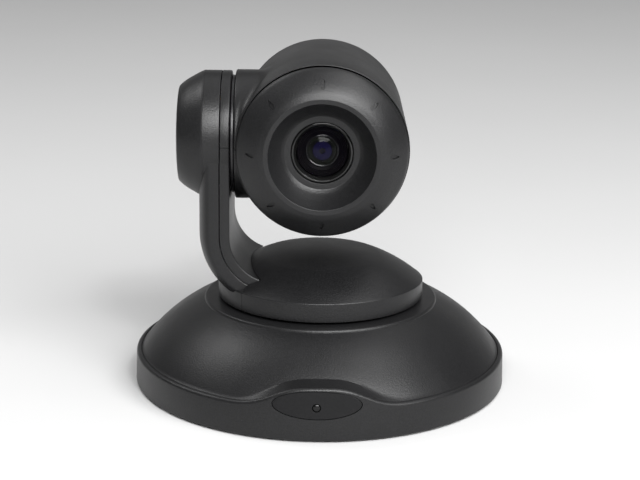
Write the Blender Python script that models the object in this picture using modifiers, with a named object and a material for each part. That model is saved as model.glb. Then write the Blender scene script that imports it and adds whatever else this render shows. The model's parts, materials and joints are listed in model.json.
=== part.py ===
"""Compact conference pan-tilt-zoom camera: a domed base, a turntable, one side arm and a drum-shaped head.

Sizes are in millimetres and become metres when a mesh is made. +Z is up and the camera looks along -Y.
Heights are measured from the lower edge of the case, which stands FOOT_HEIGHT above the table.
"""

from math import asin, cos, exp, hypot, pi, radians, sin

import bmesh
import bpy
from mathutils import Matrix, Vector

MM = 0.001
GAP = 0.3  # between pieces that touch

# Base
FOOT_HEIGHT = 1.0
BASE_RADIUS = 95.0
BAND_RADIUS = 94.4  # at the band's upper edge, because the wall leans in a little
BAND_INNER_RADIUS = 92.2
BAND_LIP = BAND_INNER_RADIUS - GAP  # outer radius of the dome's lip inside the band
BAND_TOP = 16.4
BROW_RISE = 10.1  # how far the band swells up at the front
BROW_ANGLE = 16.3  # degrees either side of the front
SHELF_RISE = 10.6  # height of the crease where the brow's flat top meets the dome
SHELF_ANGLE = 19.0
DOME_ARC_RADIUS = 80.2
DOME_ARC_CENTRE = (26.8, -30.9)  # radius and height of the centre of the dome's arc
DOME_FLAT_Z = 43.8
DOME_FLAT_RADIUS = 58.4
DOME_HOLE_RADIUS = 31.0
WALL = 2.4
LIP_DEPTH = 3.0  # how far the dome reaches down inside the band
PLATE_RADIUS = 91.4
PLATE_BOTTOM, PLATE_TOP = 1.2, 3.0
FLANGE_BOTTOM, FLANGE_TOP = 3.3, 5.6
FLANGE_INNER_RADIUS = 76.0
CASE_SCREW_CIRCLE = 80.0
SCREW_HOLE_RADIUS = 1.7
FOOT_CIRCLE = 70.0
WINDOW_CENTRE = (-1.0, 17.9)
WINDOW_HALF = (21.4, 6.9)
LAMP_RADIUS = 1.9
LAMP_PLACE = (-1.2, 16.7)
BAY_HALF_WIDTH = 41.3
BAY_BOTTOM, BAY_TOP = 6.3, 26.7
BAY_BACK = 71.9
BAY_WALL = 1.6
BOARD_BOTTOM, BOARD_TOP = 7.3, 8.9
JACK_BOTTOM = 9.25

# Pan drive
PAN_MODULE = 1.2
PAN_GEAR_TEETH, PAN_PINION_TEETH = 48, 12
PAN_CENTRES = PAN_MODULE * (PAN_GEAR_TEETH + PAN_PINION_TEETH) / 2
PAN_MOTOR_ANGLE = radians(135)
PAN_SHAFT_RADIUS = 14.7
PAN_GEAR_BOTTOM, PAN_GEAR_TOP = 35.6, 39.6
FRAME_PLATE_BOTTOM, FRAME_PLATE_TOP = 26.0, 28.5

# Turntable
RIM_RADIUS = 52.4
RIM_BOTTOM = 45.2
RIM_TOP = 55.1
RIM_DROP = 2.5  # the rim is this much lower at the back
COVER_APEX = 68.2
CREASE_RADIUS, CREASE_Z = 30.5, 65.3
FLANK_BULGE = 1.07
TURNTABLE_BOTTOM, TURNTABLE_TOP = 45.4, 47.8
TURNTABLE_RADIUS = 49.2

# Arm: straight at the top, then bent about BEND_CENTRE. RHO is the distance from the bend's centre line.
BEND_CENTRE = (-22.3, 82.0)
RHO_OUTER, RHO_SEAM, RHO_INNER = 39.0, 28.4, 23.2
ARM_HALF_WIDTH = 30.9
ARM_WALL = 2.2
CORNER_DEPTH, CORNER_WIDTH = 6.0, 17.0  # the elliptical outer corner, along RHO and along Y

# Tilt axis and barrel
TILT_Z = 127.9
BARREL_RADIUS = 31.9
BARREL_BORE = 29.5
BARREL_INNER_X, BARREL_SEAM_X, BARREL_OUTER_X = -45.5, -50.4, -58.7
TILT_MODULE = 0.7
TILT_GEAR_TEETH, TILT_PINION_TEETH = 40, 12
TILT_CENTRES = TILT_MODULE * (TILT_GEAR_TEETH + TILT_PINION_TEETH) / 2
TILT_SHAFT_RADIUS = 7.5

# Head, measured from the tilt axis
DRUM_FRONT_Y, DRUM_REAR_Y = -36.0, 42.0
DRUM_FRONT_RADIUS, DRUM_REAR_RADIUS = 42.8, 41.8
BOSS_RADIUS = 32.4
BOSS_FACE_X = -43.5
LENS_BORE = 15.2

FINE, COARSE = 46, 20  # steps round large and small turned pieces

FINISHES = {  # colour, roughness, metallic
    "shell": ((0.045, 0.046, 0.049), 0.42, 0.0),
    "dark": ((0.012, 0.012, 0.013), 0.35, 0.0),
    "window": ((0.020, 0.020, 0.022), 0.18, 0.0),
    "rubber": ((0.018, 0.018, 0.018), 0.85, 0.0),
    "steel": ((0.52, 0.52, 0.53), 0.35, 1.0),
    "zinc": ((0.62, 0.63, 0.65), 0.40, 1.0),
    "brass": ((0.72, 0.55, 0.25), 0.30, 1.0),
    "aluminium": ((0.66, 0.67, 0.69), 0.38, 1.0),
    "board": ((0.02, 0.11, 0.05), 0.50, 0.0),
    "gear": ((0.80, 0.79, 0.74), 0.50, 0.0),
    "glass": ((0.05, 0.04, 0.09), 0.04, 0.0),
}


# ---------------------------------------------------------------- scene and objects


def clear_scene():
    for obj in list(bpy.data.objects):
        bpy.data.objects.remove(obj, do_unlink=True)


def new_collection(name):
    made = bpy.data.collections.new(name)
    bpy.context.scene.collection.children.link(made)
    return made


clear_scene()
PARTS = new_collection("ptz_camera")
CUTTERS = new_collection("cutters")


def axis_empty(name, parent, at):
    """An empty on a joint's axis, at a place in millimetres measured from its parent."""
    empty = bpy.data.objects.new(name, None)
    empty.empty_display_size = 0.02
    empty.location = Vector(at) * MM
    empty.parent = parent
    PARTS.objects.link(empty)
    return empty


def finish_material(name, finish):
    colour, roughness, metallic = FINISHES[finish]
    made = bpy.data.materials.new(name + "_finish")
    made.use_nodes = True
    shader = made.node_tree.nodes["Principled BSDF"]
    shader.inputs["Base Color"].default_value = (*colour, 1.0)
    shader.inputs["Roughness"].default_value = roughness
    shader.inputs["Metallic"].default_value = metallic
    return made


def add_object(name, bm, parent, finish=None, at=(0, 0, 0), turn=(0, 0, 0)):
    """Turns a bmesh in millimetres into an object. Without a finish it is a cutter."""
    bmesh.ops.scale(bm, vec=(MM, MM, MM), verts=bm.verts)
    bmesh.ops.recalc_face_normals(bm, faces=bm.faces)
    mesh = bpy.data.meshes.new(name)
    bm.to_mesh(mesh)
    bm.free()
    return object_from_mesh(name, mesh, parent, finish, at, turn)


def object_from_mesh(name, mesh, parent, finish, at=(0, 0, 0), turn=(0, 0, 0)):
    obj = bpy.data.objects.new(name, mesh)
    obj.location = Vector(at) * MM
    obj.rotation_euler = [radians(angle) for angle in turn]
    obj.parent = parent
    if finish is None:
        obj.hide_render = True
        obj.display_type = "WIRE"
        CUTTERS.objects.link(obj)
        return obj
    if not mesh.materials:
        mesh.materials.append(finish_material(name, finish))
    PARTS.objects.link(obj)
    return obj


def shade_round(obj, angle=35):
    obj.data.shade_smooth()
    obj.data.set_sharp_from_angle(angle=radians(angle))
    return obj


def combine(obj, operation, *others):
    for other in others:
        modifier = obj.modifiers.new(operation.lower(), "BOOLEAN")
        modifier.operation = operation
        modifier.solver = "EXACT"
        modifier.object = other
    return obj


def cut(obj, *others):
    return combine(obj, "DIFFERENCE", *others)


def join(obj, *others):
    return combine(obj, "UNION", *others)


def keep(obj, *others):
    return combine(obj, "INTERSECT", *others)


# ---------------------------------------------------------------- shapes

TURN_TO = {"Z": (0, 0, 0), "Y": (-90, 0, 0), "X": (0, 90, 0)}


def turned(name, profile, parent, finish=None, axis="Z", at=(0, 0, 0), steps=FINE):
    """A solid of revolution from (radius, height) points. A profile that doesn't start and end on the
    axis is a closed loop, and makes a ring."""
    points = list(profile)
    ring = points[0][0] > 0
    area = sum(a[0] * b[1] - b[0] * a[1] for a, b in zip(points, points[1:] + points[:1]))
    if area > 0:
        points.reverse()
    mesh = bpy.data.meshes.new(name)
    edges = [(i, i + 1) for i in range(len(points) - 1)]
    if ring:
        edges.append((len(points) - 1, 0))
    mesh.from_pydata([(r * MM, 0.0, h * MM) for r, h in points], edges, [])
    obj = object_from_mesh(name, mesh, parent, finish, at, TURN_TO[axis])
    screw = obj.modifiers.new("turn", "SCREW")
    screw.axis = "Z"
    screw.angle = 2 * pi
    screw.steps = screw.render_steps = steps
    screw.use_merge_vertices = True
    screw.merge_threshold = 0.00001
    screw.use_smooth_shade = False
    return obj


def cylinder_profile(radius, low, high, edge=0.0):
    if edge:
        return [(0, high), (radius - edge, high), (radius, high - edge), (radius, low + edge),
                (radius - edge, low), (0, low)]
    return [(0, high), (radius, high), (radius, low), (0, low)]


def tube_profile(outer, inner, low, high):
    return [(inner, high), (outer, high), (outer, low), (inner, low)]


def rod(name, radius, low, high, parent, finish=None, axis="Z", at=(0, 0, 0), steps=COARSE):
    return turned(name, cylinder_profile(radius, low, high), parent, finish, axis, at, steps)


def block(name, low, high, parent, finish=None, edge=0.0):
    """A box from its lowest to its highest corner."""
    bm = bmesh.new()
    bmesh.ops.create_cube(bm, size=1.0)
    size = Vector(high) - Vector(low)
    centre = (Vector(high) + Vector(low)) / 2
    place = Matrix.Translation(centre) @ Matrix.Diagonal((*size, 1.0))
    bmesh.ops.transform(bm, matrix=place, verts=bm.verts)
    obj = add_object(name, bm, parent, finish)
    if edge:
        bevel = obj.modifiers.new("edges", "BEVEL")
        bevel.width = edge * MM
        bevel.segments = 1
    return obj


def prism(name, outline, low, high, parent, finish=None, at=(0, 0, 0), turn=(0, 0, 0)):
    """A flat outline of (x, y) points raised from low to high along Z."""
    bm = bmesh.new()
    face = bm.faces.new([bm.verts.new((x, y, low)) for x, y in outline])
    raised = bmesh.ops.extrude_face_region(bm, geom=[face])["geom"]
    moved = [item for item in raised if isinstance(item, bmesh.types.BMVert)]
    bmesh.ops.translate(bm, vec=(0, 0, high - low), verts=moved)
    return add_object(name, bm, parent, finish, at, turn)


def loft(name, rings, parent, finish=None, closed=False):
    """Joins rings of equally many points. An open loft gets a cap at each end."""
    bm = bmesh.new()
    rows = [[bm.verts.new(point) for point in ring] for ring in rings]
    pairs = list(zip(rows, rows[1:]))
    if closed:
        pairs.append((rows[-1], rows[0]))
    for first, second in pairs:
        for i in range(len(first)):
            j = (i + 1) % len(first)
            bm.faces.new((first[i], first[j], second[j], second[i]))
    if not closed:
        bm.faces.new(rows[0])
        bm.faces.new(list(reversed(rows[-1])))
    bmesh.ops.triangulate(bm, faces=[face for face in bm.faces if len(face.verts) == 4])
    return add_object(name, bm, parent, finish)


def around(azimuth, radius, height):
    """A point from its azimuth in degrees, counted from the front towards +X."""
    return (radius * sin(radians(azimuth)), -radius * cos(radians(azimuth)), height)


def gear_outline(teeth, module, phase):
    """Slim straight-sided teeth with backlash. Phase is the angle of the first tooth's middle."""
    root, tip = module * (teeth / 2 - 1.2), module * (teeth / 2 + 0.9)
    pitch = 2 * pi / teeth
    root_half, tip_half = 0.28 * pitch, 0.10 * pitch
    points = []
    for tooth in range(teeth):
        middle = phase + tooth * pitch
        for radius, angle in ((root, -root_half), (tip, -tip_half), (tip, tip_half), (root, root_half)):
            points.append((radius * cos(middle + angle), radius * sin(middle + angle)))
    return points


def smooth_step(value):
    value = min(max(value, 0.0), 1.0)
    return value * value * (3 - 2 * value)


# ---------------------------------------------------------------- frames of reference

BASE = axis_empty("base_frame", None, (0, 0, FOOT_HEIGHT))
PAN = axis_empty("pan_axis", BASE, (0, 0, 0))
TILT = axis_empty("tilt_axis", PAN, (0, 0, TILT_Z))
PAN_PINION_PLACE = (PAN_CENTRES * cos(PAN_MOTOR_ANGLE), PAN_CENTRES * sin(PAN_MOTOR_ANGLE), 0)
PAN_PINION = axis_empty("pan_pinion_axis", BASE, PAN_PINION_PLACE)
TILT_PINION = axis_empty("tilt_pinion_axis", PAN, (0, 0, TILT_Z + TILT_CENTRES))


# ---------------------------------------------------------------- base


def band_top(azimuth):
    return BAND_TOP + BROW_RISE * exp(-((abs(azimuth) / BROW_ANGLE) ** 3))


def shelf_crease(azimuth):
    return BAND_TOP + SHELF_RISE * exp(-((abs(azimuth) / SHELF_ANGLE) ** 3.4))


def dome_arc(height, inset=0.0):
    """Radius of the dome's surface at a height, or of the surface inset below it."""
    radius, centre = DOME_ARC_RADIUS - inset, DOME_ARC_CENTRE
    return centre[0] + radius * cos(asin((height - centre[1]) / radius))


def dome_arc_points(low, high, count, inset=0.0):
    """Points evenly spaced along the arc, from its top to its bottom."""
    radius, centre = DOME_ARC_RADIUS - inset, DOME_ARC_CENTRE
    start, end = (asin((height - centre[1]) / radius) for height in (high, low))
    angles = [start + (end - start) * i / (count - 1) for i in range(count)]
    return [(centre[0] + radius * cos(a), centre[1] + radius * sin(a)) for a in angles]


def base_azimuths():
    """Close together across the brow, wider round the rest."""
    return [-27 + 3 * i for i in range(19)] + [27 + 306 * i / 38 for i in range(1, 38)]


def from_front(azimuth):
    return (azimuth + 180) % 360 - 180


def make_base_tub():
    rings = []
    for azimuth in base_azimuths():
        top = band_top(from_front(azimuth))
        section = [
            (BASE_RADIUS - 0.5, 0.0), (BASE_RADIUS, 0.6), (BAND_RADIUS, top - 2.1),
            (BAND_RADIUS - 0.6, top - 0.6), (BAND_RADIUS - 1.9, top), (BAND_INNER_RADIUS, top),
            (BAND_INNER_RADIUS, FLANGE_TOP), (FLANGE_INNER_RADIUS, FLANGE_TOP),
            (FLANGE_INNER_RADIUS, FLANGE_BOTTOM), (PLATE_RADIUS + GAP, FLANGE_BOTTOM),
            (PLATE_RADIUS + GAP, 0.0),
        ]
        rings.append([around(azimuth, r, h) for r, h in section])
    tub = loft("base_tub", rings, BASE, "shell", closed=True)
    cut(tub, window_cutter("window_hole", GAP), bay_notch())
    for number, (x, y) in enumerate(case_screw_places()):
        cut(tub, rod(f"tub_screw_hole_{number}", SCREW_HOLE_RADIUS, 2, 7, BASE, at=(x, y, 0)))
    return shade_round(tub)


def window_cutter(name, margin):
    """The window's oval, pushed through the front of the band."""
    half_width, half_height = (half + margin for half in WINDOW_HALF)
    turns = [2 * pi * i / 32 for i in range(32)]
    outline = [
        (WINDOW_CENTRE[0] + half_width * cos(a), WINDOW_CENTRE[1] + half_height * sin(a)) for a in turns
    ]
    return prism(name, outline, 80, 100, BASE, turn=(90, 0, 0))


def bay_notch():
    low = (-BAY_HALF_WIDTH - GAP, BAY_BACK - GAP, BAY_BOTTOM - GAP)
    high = (BAY_HALF_WIDTH + GAP, 110, BAY_TOP + GAP)
    return block("bay_notch", low, high, BASE)


def case_screw_places():
    return [around(45 + 90 * i, CASE_SCREW_CIRCLE, 0)[:2] for i in range(4)]


def make_base_cover():
    rings = []
    for azimuth in base_azimuths():
        top, crease = band_top(from_front(azimuth)), shelf_crease(from_front(azimuth))
        inner_crease = dome_arc(crease - WALL, WALL)
        section = [(DOME_HOLE_RADIUS, DOME_FLAT_Z), (DOME_FLAT_RADIUS, DOME_FLAT_Z), (59.7, 43.1)]
        section += dome_arc_points(crease, 42.0, 6)
        section += [(BAND_LIP, top - 0.1), (BAND_LIP, top - LIP_DEPTH), (inner_crease, top - LIP_DEPTH)]
        section += reversed(dome_arc_points(crease - WALL, 40.9, 4, WALL))
        section += [(56.0, DOME_FLAT_Z - WALL), (DOME_HOLE_RADIUS, DOME_FLAT_Z - WALL)]
        rings.append([around(azimuth, r, h) for r, h in section])
    cover = loft("base_cover", rings, BASE, "shell", closed=True)
    cut(cover, bay_notch())
    for number, (x, y) in enumerate(case_screw_places()):
        join(cover, rod(f"cover_boss_{number}", 3.2, 5.9, 25.5, BASE, at=(x, y, 0)))
        cut(cover, rod(f"cover_screw_hole_{number}", SCREW_HOLE_RADIUS, 4, 16, BASE, at=(x, y, 0)))
    return shade_round(cover)


def make_base_plate():
    plate = rod("base_plate", PLATE_RADIUS, PLATE_BOTTOM, PLATE_TOP, BASE, "zinc", steps=FINE)
    cut(plate, rod("insert_hole", 6.3, 0, 5, BASE))
    for number, (x, y) in enumerate(((-36, -45), (36, -45), (-36, 50), (36, 50))):
        join(plate, rod(f"board_post_{number}", 2.5, 2.0, BOARD_BOTTOM - GAP, BASE, at=(x, y, 0), steps=12))
    for number, (x, y) in enumerate(case_screw_places()):
        hole = [(0, 4), (1.7, 4), (1.7, 2.9), (3.4, 1.1), (3.4, 0), (0, 0)]
        cut(plate, turned(f"plate_screw_hole_{number}", hole, BASE, at=(x, y, 0), steps=12))
    return shade_round(plate)


def make_case_screws():
    """Countersunk screws that hold plate, band and cover together."""
    profile = [(0, 14.0), (1.4, 14.0), (1.4, 2.75), (2.9, 1.25), (0, 1.25)]
    for number, (x, y) in enumerate(case_screw_places()):
        turned(f"case_screw_{number + 1}", profile, BASE, "steel", at=(x, y, 0), steps=12)


def make_feet():
    profile = [(0, 0.9), (7.5, 0.9), (7.5, -0.6), (7.0, -FOOT_HEIGHT), (0, -FOOT_HEIGHT)]
    for number in range(4):
        place = around(90 * number, FOOT_CIRCLE, 0)
        turned(f"rubber_foot_{number + 1}", profile, BASE, "rubber", at=place, steps=COARSE)


def make_tripod_insert():
    profile = [
        (3.25, 6.9), (6.0, 6.9), (6.0, 5.0), (9.0, 5.0), (9.0, 3.3), (6.0, 3.3), (6.0, 1.2), (3.25, 1.2),
    ]
    turned("tripod_insert", profile, BASE, "brass", steps=COARSE)


def make_window():
    pane = tube_profile(BAND_RADIUS - 0.15, 92.5, 5, 30)
    window = turned("ir_window", pane, BASE, "window", steps=120)
    keep(window, window_cutter("window_outline", 0.0))
    cut(window, rod("lamp_hole", LAMP_RADIUS + GAP, 85, 100, BASE, axis="Y", at=lamp_place_back()))
    shade_round(window)
    lamp = [
        (0, -85.9), (LAMP_RADIUS, -85.9), (LAMP_RADIUS, -94.2), (1.5, -94.7), (0.8, -94.92), (0, -94.97),
    ]
    place = (LAMP_PLACE[0], 0, LAMP_PLACE[1])
    turned("status_lamp", lamp, BASE, "window", axis="Y", at=place, steps=COARSE)
    block("ir_board", (-12, -85.6, 11.5), (10, -84.4, 21.2), BASE, "board")


def lamp_place_back():
    """The lamp's hole is turned about +Y, so its stretch starts this far behind the front."""
    return (LAMP_PLACE[0], -185, LAMP_PLACE[1])


def make_main_board():
    board = block("main_board", (-42, -55, BOARD_BOTTOM), (42, 71.2, BOARD_TOP), BASE, "board")
    processor = block("board_processor", (-10, -30, BOARD_TOP - 0.5), (8, -12, BOARD_TOP + 1.6), BASE)
    coil = block("board_coil", (18, 8, BOARD_TOP - 0.5), (30, 20, BOARD_TOP + 5.0), BASE)
    join(board, processor, coil)


# Name, middle x, width, height, finish of each jack
JACKS = (
    ("network_jack", -27.0, 16.0, 13.5, "steel"),
    ("control_jack", -8.0, 16.0, 13.5, "steel"),
    ("usb_jack", 10.5, 12.1, 10.5, "steel"),
    ("power_jack", 27.0, 9.0, 11.0, "dark"),
)
JACK_DEPTH, JACK_FACE = 15.5, 74.0


def make_connector_bay():
    """A five-sided recess let into the back of the case, open to the rear."""
    low, high = (-BAY_HALF_WIDTH, BAY_BACK, BAY_BOTTOM), (BAY_HALF_WIDTH, 100, BAY_TOP)
    bay = block("connector_bay", low, high, BASE, "dark")
    inner_low = (-BAY_HALF_WIDTH + BAY_WALL, BAY_BACK + BAY_WALL, BAY_BOTTOM + BAY_WALL)
    inner_high = (BAY_HALF_WIDTH - BAY_WALL, 110, BAY_TOP - BAY_WALL)
    envelope = [(0, 43)] + dome_arc_points(BAND_TOP + 0.2, 42.0, 9, 0.2)
    envelope += [(BAND_RADIUS - 2.0, BAND_TOP - 0.2), (BAND_RADIUS - 0.7, BAND_TOP - 0.9)]
    envelope += [(BAND_RADIUS - 0.2, BAND_TOP - 2.2), (BASE_RADIUS - 0.3, 0), (0, 0)]
    cut(bay, block("bay_inside", inner_low, inner_high, BASE))
    keep(bay, turned("case_envelope", envelope, BASE, steps=90))
    for name, middle, width, height, _ in JACKS:
        low = (middle - width / 2 - GAP, BAY_BACK - 5, JACK_BOTTOM - GAP)
        high = (middle + width / 2 + GAP, BAY_BACK + 5, JACK_BOTTOM + height + GAP)
        cut(bay, block(f"{name}_window", low, high, BASE))


def make_jacks():
    for name, middle, width, height, finish in JACKS:
        low = (middle - width / 2, JACK_FACE - JACK_DEPTH, JACK_BOTTOM)
        jack = block(name, low, (middle + width / 2, JACK_FACE, JACK_BOTTOM + height), BASE, finish)
        centre_z = JACK_BOTTOM + height / 2
        if name == "power_jack":
            place = (middle, 0, centre_z)
            cut(jack, rod("power_bore", 3.2, 62, 80, BASE, axis="Y", at=place))
            join(jack, rod("power_pin", 1.0, 60, 73, BASE, axis="Y", at=place, steps=12))
            continue
        half_width, half_height = (4.5, 3.9) if name == "usb_jack" else (5.9, 4.1)
        low = (middle - half_width, 61, centre_z - half_height)
        cut(jack, block(f"{name}_socket", low, (middle + half_width, 80, centre_z + half_height), BASE))
        if name == "usb_jack":
            low, high = (middle - 2.8, 60, centre_z - 1.5), (middle + 2.8, 72.5, centre_z + 1.5)
            join(jack, block("usb_tongue", low, high, BASE))


def make_pan_frame():
    """Metal bridge on four legs, which carries the motor and the pan bearing."""
    low, high = (-54, -38, FRAME_PLATE_BOTTOM), (54, 38, FRAME_PLATE_TOP)
    frame = block("pan_frame", low, high, BASE, "aluminium")
    hub = turned("frame_hub", tube_profile(27.8, 24.3, FRAME_PLATE_TOP - 1, 35.0), BASE, steps=44)
    join(frame, hub)
    cut(frame, rod("frame_hole", 20, 20, 32, BASE, steps=44))
    cut(frame, rod("pan_motor_hole", 8.6, 20, 32, BASE, at=PAN_PINION_PLACE))
    low, high = PLATE_TOP + GAP, FRAME_PLATE_TOP - 1
    for number, (x, y) in enumerate(((-50, -34), (50, -34), (-50, 34), (50, 34))):
        join(frame, rod(f"frame_leg_{number}", 3.5, low, high, BASE, at=(x, y, 0), steps=12))


def make_pan_drive():
    motor = cylinder_profile(17.0, 9.9, FRAME_PLATE_BOTTOM - GAP, 0.6)
    shade_round(turned("pan_motor", motor, PAN_PINION, "steel", steps=32))
    turned("pan_bearing_outer_race", tube_profile(24.0, 21.4, 28.9, 34.7), BASE, "steel", steps=40)
    turned("pan_bearing_inner_race", tube_profile(17.6, 15.0, 28.9, 34.7), PAN, "steel", steps=40)
    turned("pan_retaining_ring", tube_profile(17.5, 15.0, 27.4, 28.6), PAN, "steel", steps=32)
    shaft = [
        (11.0, 45.1), (24.0, 45.1), (24.0, 42.4), (PAN_SHAFT_RADIUS, 42.4), (PAN_SHAFT_RADIUS, 27.0),
        (11.0, 27.0),
    ]
    shade_round(turned("pan_shaft", shaft, PAN, "aluminium", steps=40))
    outline = gear_outline(PAN_GEAR_TEETH, PAN_MODULE, PAN_MOTOR_ANGLE)
    gear = prism("pan_gear", outline, PAN_GEAR_BOTTOM, PAN_GEAR_TOP, PAN, "gear")
    cut(gear, rod("pan_gear_bore", PAN_SHAFT_RADIUS + GAP, 30, 45, PAN, steps=40))
    facing_gap = PAN_MOTOR_ANGLE + pi + pi / PAN_PINION_TEETH
    outline = gear_outline(PAN_PINION_TEETH, PAN_MODULE, facing_gap)
    pinion = prism("pan_pinion", outline, PAN_GEAR_BOTTOM, PAN_GEAR_TOP, PAN_PINION, "brass")
    join(pinion, rod("pan_pinion_shaft", 2.4, FRAME_PLATE_BOTTOM, PAN_GEAR_TOP - 1, PAN_PINION, steps=12))


# ---------------------------------------------------------------- turntable


def rim_top(azimuth):
    """The rim is level round the front and lower at the back."""
    y = -RIM_RADIUS * cos(radians(azimuth))
    return RIM_TOP - RIM_DROP * smooth_step((y + 40) / 68)


def flank_point(azimuth, share):
    """A point between the cover's crease (0) and its rim (1), on a curve that bulges slightly."""
    start, end = (CREASE_RADIUS, CREASE_Z), (RIM_RADIUS - 0.6, rim_top(azimuth))
    run, fall = end[0] - start[0], end[1] - start[1]
    length = hypot(run, fall)
    middle = (
        (start[0] + end[0]) / 2 - 2 * FLANK_BULGE * fall / length,
        (start[1] + end[1]) / 2 + 2 * FLANK_BULGE * run / length,
    )
    weights = ((1 - share) ** 2, 2 * share * (1 - share), share**2)
    return tuple(
        weights[0] * start[i] + weights[1] * middle[i] + weights[2] * end[i] for i in range(2)
    )


def below_flank(azimuth, share):
    """The same place on the underside of the cover's flank."""
    radius, height = flank_point(azimuth, share)
    return (radius - 1.0, height - WALL + 0.2)


def cover_cap(radius):
    return COVER_APEX - (COVER_APEX - CREASE_Z) * (radius / CREASE_RADIUS) ** 2


def make_turntable_cover():
    azimuths = [360 * i / FINE for i in range(FINE)]
    outside = [lambda a, r=r: (r, cover_cap(r)) for r in (4, 17)]
    outside += [lambda a, s=s: flank_point(a, s) for s in (0, 0.25, 0.5, 0.75, 1)]
    outside += [
        lambda a: (RIM_RADIUS, rim_top(a) - 0.6), lambda a: (RIM_RADIUS, RIM_BOTTOM + 0.5),
        lambda a: (RIM_RADIUS - 0.3, RIM_BOTTOM),
    ]
    inside = [lambda a: (RIM_RADIUS - WALL, RIM_BOTTOM), lambda a: (RIM_RADIUS - WALL, rim_top(a) - WALL)]
    inside += [lambda a, s=s: below_flank(a, s) for s in (0.7, 0.35, 0)]
    inside += [lambda a, r=r: (r, cover_cap(r) - WALL + 0.2) for r in (14, 4)]
    rings = [[around(a, *place(a)) for a in azimuths] for place in outside + inside]
    cover = loft("turntable_cover", rings, PAN, "shell")
    cut(cover, foot_prism("cover_foot_cut", 0.0), arm_opening())
    return shade_round(cover)


def foot_prism(name, inset):
    """The left part of the turntable, which belongs to the arm's foot."""
    outer_x, inner_x = -45.9 - inset, -36.5 - inset
    outline = [(-80, -44), (outer_x, -44), (inner_x, -31.4), (inner_x, 31.4), (outer_x, 44), (-80, 44)]
    return prism(name, outline, 40, 80, PAN)


def make_turntable_plate():
    disc = tube_profile(TURNTABLE_RADIUS, 11.3, TURNTABLE_BOTTOM, TURNTABLE_TOP)
    plate = turned("turntable_plate", disc, PAN, "zinc")
    for number, (x, y) in enumerate(ARM_SCREW_PLACES):
        hole = [(0, 49), (1.7, 49), (1.7, 47.1), (3.3, 45.3), (3.3, 44), (0, 44)]
        cut(plate, turned(f"turntable_screw_hole_{number}", hole, PAN, at=(x, y, 0), steps=12))


# ---------------------------------------------------------------- arm

ARM_SCREW_PLACES = ((-29.0, -12.0), (-29.0, 12.0))


def arm_stations(top, last_angle, step=10):
    """The arm's path: (drop, angle) from the straight part's top down to the bend, then round it."""
    straight = [(top - (top - BEND_CENTRE[1]) * i / 3, 0) for i in range(4)]
    bend = [(BEND_CENTRE[1], angle) for angle in range(step, last_angle + 1, step)]
    if bend[-1][1] != last_angle:
        bend.append((BEND_CENTRE[1], last_angle))
    return straight + bend


def arm_point(station, rho, y):
    height, angle = station
    turn = radians(angle)
    return (BEND_CENTRE[0] - rho * cos(turn), y, height - rho * sin(turn))


def sweep(name, section, stations, finish=None):
    return loft(name, [[arm_point(s, rho, y) for rho, y in section] for s in stations], PAN, finish)


def outer_corner(sign):
    """The arm's outer corner, a quarter of an ellipse."""
    turns = [radians(30 * i) for i in range(4)]
    rho, half_width = RHO_OUTER - CORNER_DEPTH, ARM_HALF_WIDTH - CORNER_WIDTH
    return [(rho + CORNER_DEPTH * sin(a), sign * (half_width + CORNER_WIDTH * cos(a))) for a in turns]


def make_arm_outer_shell():
    inside = ARM_HALF_WIDTH - ARM_WALL
    section = [(RHO_SEAM, -ARM_HALF_WIDTH)] + outer_corner(-1) + outer_corner(1)[::-1]
    section += [(RHO_SEAM, ARM_HALF_WIDTH), (RHO_SEAM, inside), (RHO_OUTER - CORNER_DEPTH, inside)]
    section += [(RHO_OUTER - ARM_WALL, inside - 9), (RHO_OUTER - ARM_WALL, 9 - inside)]
    section += [(RHO_OUTER - CORNER_DEPTH, -inside), (RHO_SEAM, -inside)]
    shell = sweep("arm_outer_shell", section, arm_stations(125, 60), "shell")
    ring = tube_profile(BARREL_RADIUS, BARREL_BORE, BARREL_OUTER_X, BARREL_SEAM_X - 0.2)
    foot = [
        (RIM_RADIUS, RIM_TOP - 1.1), (RIM_RADIUS - 0.7, RIM_TOP - 0.4), (44.5, RIM_TOP - 0.4), (44.5, 52.4),
        (50.0, 52.4), (50.0, RIM_BOTTOM), (RIM_RADIUS - 0.3, RIM_BOTTOM), (RIM_RADIUS, RIM_BOTTOM + 0.5),
    ]
    foot_rim = turned("foot_rim", foot, PAN)
    keep(foot_rim, foot_prism("foot_rim_share", GAP))
    join(shell, turned("barrel_ring", ring, PAN, axis="X", at=(0, 0, TILT_Z), steps=44), foot_rim)
    clearance = [(0, BARREL_OUTER_X - 0.05), (BARREL_RADIUS + GAP, BARREL_OUTER_X - 0.05)]
    clearance += [(r + GAP, x) for r, x in CAP_OUTLINE[1:6]] + [(25.6, -76), (0, -76)]
    cut(shell, turned("end_cap_clearance", clearance, PAN, axis="X", at=(0, 0, TILT_Z), steps=44))
    cut(shell, block("frame_slot", (-54.4, -24.6, 92), (-48, 24.6, 118), PAN))
    return shade_round(shell)


# Radius and x of the end cap's surface: a curved cone, then a slightly domed end
CAP_OUTLINE = (
    (31.9, -58.95), (31.7, -59.8), (30.7, -61.8), (29.3, -64.4), (27.5, -67.5), (25.6, -70.1),
    (23.4, -71.8), (18.8, -72.5), (0, -72.9),
)


def make_end_cap():
    inside = [(0, -70.7), (21.2, -70.1), (24.8, -67.4), (29.2, -58.95)]
    profile = inside + list(CAP_OUTLINE)
    shade_round(turned("tilt_end_cap", profile, PAN, "shell", axis="X", at=(0, 0, TILT_Z)))


def arm_opening():
    """The space that the arm takes out of the turntable cover."""
    half = ARM_HALF_WIDTH + 0.5
    rho_low, rho_high = RHO_INNER - 0.4, 45.0
    section = [(rho_low, -half), (rho_high, -half), (rho_high, half), (rho_low, half)]
    return sweep("arm_opening", section, arm_stations(95, 72))


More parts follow.
